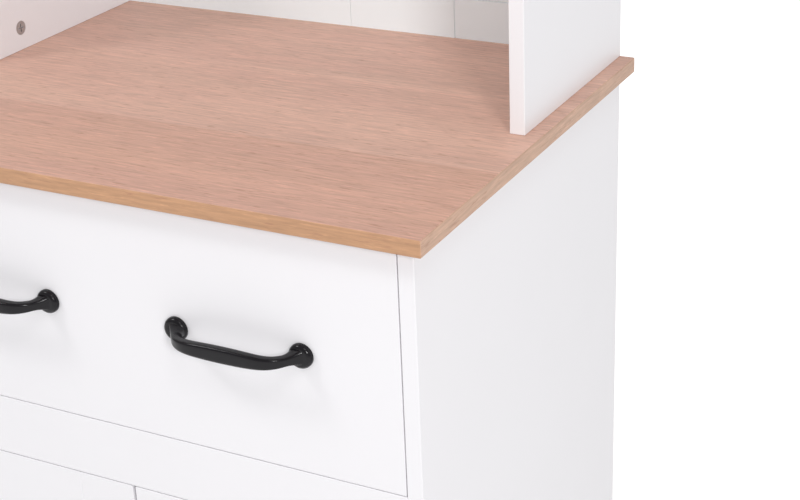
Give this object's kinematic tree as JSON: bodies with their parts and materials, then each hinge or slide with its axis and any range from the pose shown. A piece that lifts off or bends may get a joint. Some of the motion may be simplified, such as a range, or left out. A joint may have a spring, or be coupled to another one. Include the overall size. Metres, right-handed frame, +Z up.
{
  "type": "microwave stand with drawer",
  "caption": "Freestanding kitchen stand: wide drawer over a cupboard with doors, oak-look worktop, and an open hutch above with a bay for a microwave oven.",
  "frame": {"origin": "bottom centre of the box round the whole stand at rest, handles included, on the floor", "axes": "+X to the right as seen from the front, +Y towards the wall behind, +Z up"},
  "size_m": [0.65, 0.502, 1.536],
  "materials": {
    "white_board": "particle board with a smooth white matt melamine face and white edge banding",
    "oak_board": "particle board with a matt oak-look paper face, its grain along the width",
    "white_hardboard": "thin hardboard with a white printed face",
    "black_metal": "satin black coat over cast zinc or steel",
    "steel": "bright zinc-plated steel",
    "zinc": "cast zinc, as cast",
    "plastic": "white moulded plastic"
  },
  "bodies": {
    "cabinet": {"worktop": "oak_board", "base_side_left": "white_board", "base_side_right": "white_board", "base_bottom": "white_board", "kick_board": "white_board", "base_back_panel": "white_hardboard", "front_stretcher": "white_board", "rear_stretcher": "white_board", "front_rail": "white_board", "middle_rail": "white_board", "base_shelf": "white_board", "shelf_pins": "steel", "glides": "plastic", "cabinet_screws": "steel", "cam_discs": "zinc", "cam_bolts": "steel", "slide_cabinet_left": "steel", "slide_cabinet_right": "steel", "hinge_cabinet_leaves": "black_metal", "hinge_pins": "black_metal", "magnetic_catches": "plastic", "hutch_side_left": "white_board", "hutch_side_right": "white_board", "hutch_top": "white_board", "hutch_shelf": "white_board", "hutch_back_left": "white_hardboard", "hutch_back_right": "white_hardboard", "hutch_back_tape": "plastic", "back_nails": "steel", "wall_bracket": "steel"},
    "drawer": {"drawer_front": "white_board", "drawer_side_left": "white_board", "drawer_side_right": "white_board", "drawer_back": "white_board", "drawer_bottom": "white_hardboard", "drawer_cam_discs": "zinc", "drawer_cam_bolts": "steel", "drawer_back_screws": "steel", "drawer_handle_left": "black_metal", "drawer_handle_right": "black_metal", "drawer_handle_screws": "steel", "slide_drawer_left": "steel", "slide_drawer_right": "steel", "slide_drawer_screws": "steel"},
    "slide_cage_left": {"slide_cage_left": "steel"},
    "slide_cage_right": {"slide_cage_right": "steel"},
    "door_left": {"door_left_stiles": "white_board", "door_left_rails": "white_board", "door_left_panel": "white_board", "door_left_handle": "black_metal", "door_left_screws": "steel", "door_left_hinge_leaves": "black_metal", "door_left_strike": "steel"},
    "door_right": {"door_right_stiles": "white_board", "door_right_rails": "white_board", "door_right_panel": "white_board", "door_right_handle": "black_metal", "door_right_screws": "steel", "door_right_hinge_leaves": "black_metal", "door_right_strike": "steel"}
  },
  "joints": [
    {"name": "drawer_slide", "type": "slide", "parent": "cabinet", "child": "drawer", "axis": [0, -1, 0], "range_m": [0, 0.3]},
    {"name": "slide_cage_left_slide", "type": "slide", "parent": "cabinet", "child": "slide_cage_left", "axis": [0, -1, 0], "range_m": [0, 0.15]},
    {"name": "slide_cage_right_slide", "type": "slide", "parent": "cabinet", "child": "slide_cage_right", "axis": [0, -1, 0], "range_m": [0, 0.15]},
    {"name": "door_left_hinge", "type": "hinge", "parent": "cabinet", "child": "door_left", "pos_m": [-0.29375, -0.2223, 0.30875], "axis": [0, 0, -1], "range_deg": [0, 170]},
    {"name": "door_right_hinge", "type": "hinge", "parent": "cabinet", "child": "door_right", "pos_m": [0.29375, -0.2223, 0.30875], "axis": [0, 0, 1], "range_deg": [0, 170]}
  ],
  "couplings": [
    {"joint": "slide_cage_left_slide", "follows": "drawer_slide", "ratio": 0.5},
    {"joint": "slide_cage_right_slide", "follows": "drawer_slide", "ratio": 0.5}
  ]
}
